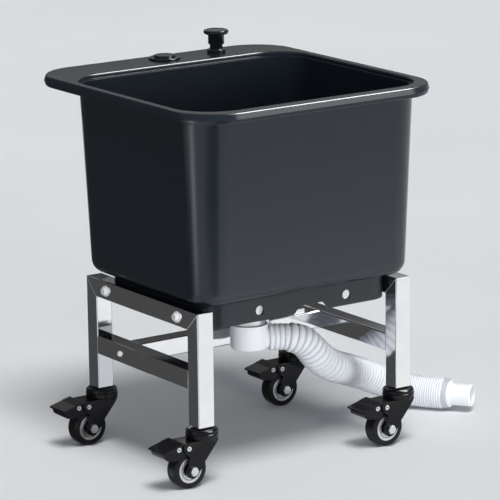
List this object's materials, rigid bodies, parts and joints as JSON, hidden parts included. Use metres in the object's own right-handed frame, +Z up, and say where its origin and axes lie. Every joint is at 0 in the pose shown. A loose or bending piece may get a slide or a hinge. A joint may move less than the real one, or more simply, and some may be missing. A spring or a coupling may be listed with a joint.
{
  "type": "utility sink",
  "caption": "Deep plastic laundry and mop tub on a square-tube stand with braked swivel casters, a lift knob for the drain plug and a ribbed drain hose.",
  "frame": {"origin": "on the floor, under the middle of the whole outline without the hose", "axes": "+X to the sink's right as its user stands at the front, +Y to the back where the deck is, +Z up"},
  "size_m": [0.5733, 0.424, 0.5325],
  "materials": {
    "charcoal_plastic": "semi-gloss charcoal moulding",
    "stainless_tube": "fine brushed square tube",
    "bright_steel": "bright plated",
    "caster_steel": "black coated pressed steel",
    "black_plastic": "black moulding",
    "black_rubber": "matt",
    "tyre_rubber": "satin",
    "white_plastic": "satin white moulding"
  },
  "bodies": {
    "stand": {"tub": "charcoal_plastic", "leg_front_left": "stainless_tube", "leg_front_right": "stainless_tube", "leg_rear_left": "stainless_tube", "leg_rear_right": "stainless_tube", "upper_rail_left": "stainless_tube", "upper_rail_right": "stainless_tube", "lower_rail_left": "stainless_tube", "lower_rail_right": "stainless_tube", "crossbar": "stainless_tube", "tub_bolts": "bright_steel", "tub_bolt_nuts": "bright_steel", "crossbar_bolts": "bright_steel", "leg_plugs": "black_plastic", "caster_stems": "bright_steel", "tap_hole_cover": "charcoal_plastic", "tap_hole_nut": "black_plastic", "knob_bush": "charcoal_plastic", "knob_bush_nut": "black_plastic", "lift_cable": "black_plastic", "drain_flange": "bright_steel", "drain_gasket": "black_rubber", "drain_nut": "black_plastic", "drain_cup": "white_plastic", "drain_hose": "white_plastic", "hose_cuff": "white_plastic", "swivel_head_front_left": "caster_steel", "swivel_head_front_right": "caster_steel", "swivel_head_rear_left": "caster_steel", "swivel_head_rear_right": "caster_steel"},
    "knob": {"pull_knob": "charcoal_plastic"},
    "plug": {"drain_plug": "bright_steel"},
    "caster_front_left": {"fork_front_left": "caster_steel", "axle_front_left": "bright_steel", "pivot_rivet_front_left": "bright_steel"},
    "wheel_front_left": {"tyre_front_left": "tyre_rubber", "hub_front_left": "black_plastic"},
    "brake_front_left": {"brake_pedal_front_left": "black_plastic", "pedal_rivet_front_left": "bright_steel"},
    "caster_front_right": {"fork_front_right": "caster_steel", "axle_front_right": "bright_steel", "pivot_rivet_front_right": "bright_steel"},
    "wheel_front_right": {"tyre_front_right": "tyre_rubber", "hub_front_right": "black_plastic"},
    "brake_front_right": {"brake_pedal_front_right": "black_plastic", "pedal_rivet_front_right": "bright_steel"},
    "caster_rear_left": {"fork_rear_left": "caster_steel", "axle_rear_left": "bright_steel", "pivot_rivet_rear_left": "bright_steel"},
    "wheel_rear_left": {"tyre_rear_left": "tyre_rubber", "hub_rear_left": "black_plastic"},
    "brake_rear_left": {"brake_pedal_rear_left": "black_plastic", "pedal_rivet_rear_left": "bright_steel"},
    "caster_rear_right": {"fork_rear_right": "caster_steel", "axle_rear_right": "bright_steel", "pivot_rivet_rear_right": "bright_steel"},
    "wheel_rear_right": {"tyre_rear_right": "tyre_rubber", "hub_rear_right": "black_plastic"},
    "brake_rear_right": {"brake_pedal_rear_right": "black_plastic", "pedal_rivet_rear_right": "bright_steel"}
  },
  "joints": [
    {"name": "knob_slide", "type": "slide", "parent": "stand", "child": "knob", "axis": [0, 0, 1], "range_m": [-0.0065, 0.005]},
    {"name": "plug_slide", "type": "slide", "parent": "stand", "child": "plug", "axis": [0, 0, 1], "range_m": [-0.0065, 0.005]},
    {"name": "swivel_front_left", "type": "hinge", "parent": "stand", "child": "caster_front_left", "pos_m": [-0.143, -0.148, 0.07], "axis": [0, 0, 1], "continuous": true},
    {"name": "roll_front_left", "type": "hinge", "parent": "caster_front_left", "child": "wheel_front_left", "pos_m": [-0.168, -0.148, 0.025], "axis": [0, 1, 0], "continuous": true},
    {"name": "pedal_front_left", "type": "hinge", "parent": "caster_front_left", "child": "brake_front_left", "pos_m": [-0.1738, -0.148, 0.0564], "axis": [0, 1, 0], "range_deg": [0, 12]},
    {"name": "swivel_front_right", "type": "hinge", "parent": "stand", "child": "caster_front_right", "pos_m": [0.177, -0.148, 0.07], "axis": [0, 0, 1], "continuous": true},
    {"name": "roll_front_right", "type": "hinge", "parent": "caster_front_right", "child": "wheel_front_right", "pos_m": [0.152, -0.148, 0.025], "axis": [0, 1, 0], "continuous": true},
    {"name": "pedal_front_right", "type": "hinge", "parent": "caster_front_right", "child": "brake_front_right", "pos_m": [0.1462, -0.148, 0.0564], "axis": [0, 1, 0], "range_deg": [0, 12]},
    {"name": "swivel_rear_left", "type": "hinge", "parent": "stand", "child": "caster_rear_left", "pos_m": [-0.143, 0.098, 0.07], "axis": [0, 0, 1], "continuous": true},
    {"name": "roll_rear_left", "type": "hinge", "parent": "caster_rear_left", "child": "wheel_rear_left", "pos_m": [-0.168, 0.098, 0.025], "axis": [0, 1, 0], "continuous": true},
    {"name": "pedal_rear_left", "type": "hinge", "parent": "caster_rear_left", "child": "brake_rear_left", "pos_m": [-0.1738, 0.098, 0.0564], "axis": [0, 1, 0], "range_deg": [0, 12]},
    {"name": "swivel_rear_right", "type": "hinge", "parent": "stand", "child": "caster_rear_right", "pos_m": [0.177, 0.098, 0.07], "axis": [0, 0, 1], "continuous": true},
    {"name": "roll_rear_right", "type": "hinge", "parent": "caster_rear_right", "child": "wheel_rear_right", "pos_m": [0.152, 0.098, 0.025], "axis": [0, 1, 0], "continuous": true},
    {"name": "pedal_rear_right", "type": "hinge", "parent": "caster_rear_right", "child": "brake_rear_right", "pos_m": [0.1462, 0.098, 0.0564], "axis": [0, 1, 0], "range_deg": [0, 12]}
  ],
  "couplings": [
    {"joint": "plug_slide", "follows": "knob_slide", "ratio": 1}
  ]
}
